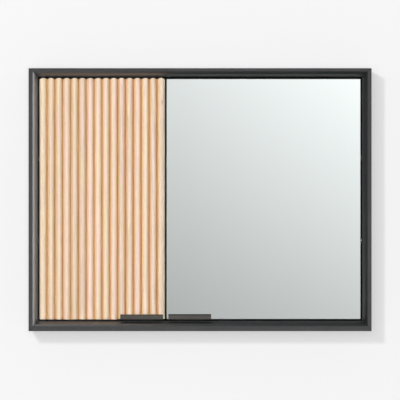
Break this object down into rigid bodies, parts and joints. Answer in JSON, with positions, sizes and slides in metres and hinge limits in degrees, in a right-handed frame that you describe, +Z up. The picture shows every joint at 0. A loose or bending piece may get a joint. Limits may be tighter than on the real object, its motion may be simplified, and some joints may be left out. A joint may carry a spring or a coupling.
{
  "type": "mirrored wall cabinet",
  "caption": "Framed wall cabinet with a reeded oak door and a mirror door on concealed knife hinges, lip pulls, glass shelves and hanging rails for the wall.",
  "frame": {"origin": "centre of the back face, which lies against the wall", "axes": "+X to the right seen from the front, +Y into the wall, +Z up"},
  "size_m": [0.762, 0.14, 0.5842],
  "materials": {
    "frame_lacquer": "satin charcoal lacquer on hardwood",
    "case_lacquer": "satin charcoal lacquer outside, oak veneer inside",
    "door_lacquer": "satin black lacquer on board",
    "oak_slats": "clear matt oil on pale oak, grain upright, each slat its own shade",
    "oak_veneer": "clear matt lacquer on oak veneer",
    "back_board": "oak veneered board",
    "beech": "plain beech",
    "mirror": "silvered float glass with a fine ground arris",
    "shelf_glass": "clear toughened glass, polished edges",
    "foam_tape": "double-sided foam tape",
    "pull_metal": "satin charcoal powder coat",
    "hinge_steel": "brushed steel",
    "pin_nickel": "nickel plated steel",
    "screw_steel": "zinc plated steel",
    "strike_steel": "zinc plated steel",
    "magnet": "plated magnet",
    "catch_plastic": "moulded black plastic",
    "nylon": "natural nylon"
  },
  "bodies": {
    "case": {"back_panel": "back_board", "back_panel_screws": "screw_steel", "case_bottom_panel": "case_lacquer", "case_left_panel": "case_lacquer", "case_right_panel": "case_lacquer", "case_top_panel": "case_lacquer", "catch_magnets": "magnet", "catch_screws": "screw_steel", "centre_divider": "oak_veneer", "dowels": "beech", "frame_bottom_rail": "frame_lacquer", "frame_left_stile": "frame_lacquer", "frame_right_stile": "frame_lacquer", "frame_top_rail": "frame_lacquer", "hinge_pins": "hinge_steel", "hinge_washers": "nylon", "left_catch": "catch_plastic", "left_lower_rail_leaf": "hinge_steel", "left_shelf_1": "shelf_glass", "left_shelf_2": "shelf_glass", "left_upper_rail_leaf": "hinge_steel", "lower_hanging_rail": "oak_veneer", "rail_leaf_screws": "screw_steel", "right_catch": "catch_plastic", "right_lower_rail_leaf": "hinge_steel", "right_shelf_1": "shelf_glass", "right_shelf_2": "shelf_glass", "right_upper_rail_leaf": "hinge_steel", "shelf_pins": "pin_nickel", "upper_hanging_rail": "oak_veneer"},
    "left_door": {"slat_01": "oak_slats", "slat_02": "oak_slats", "slat_03": "oak_slats", "slat_04": "oak_slats", "slat_05": "oak_slats", "slat_06": "oak_slats", "slat_07": "oak_slats", "slat_08": "oak_slats", "slat_09": "oak_slats", "slat_10": "oak_slats", "slat_11": "oak_slats", "slat_12": "oak_slats", "slat_13": "oak_slats", "slat_14": "oak_slats", "slat_15": "oak_slats", "slat_16": "oak_slats", "left_door_core": "oak_veneer", "left_pull": "pull_metal", "left_strike_plate": "strike_steel", "left_door_screws": "screw_steel", "left_upper_door_leaf": "hinge_steel", "left_lower_door_leaf": "hinge_steel"},
    "right_door": {"right_door_core": "door_lacquer", "mirror_glass": "mirror", "mirror_tape": "foam_tape", "right_pull": "pull_metal", "right_strike_plate": "strike_steel", "right_door_screws": "screw_steel", "right_upper_door_leaf": "hinge_steel", "right_lower_door_leaf": "hinge_steel"}
  },
  "joints": [
    {"name": "left_door_swing", "type": "hinge", "parent": "case", "child": "left_door", "pos_m": [-0.341, -0.108, 0], "axis": [0, 0, -1], "range_deg": [0, 110]},
    {"name": "right_door_swing", "type": "hinge", "parent": "case", "child": "right_door", "pos_m": [0.341, -0.108, 0], "axis": [0, 0, 1], "range_deg": [0, 110]}
  ]
}
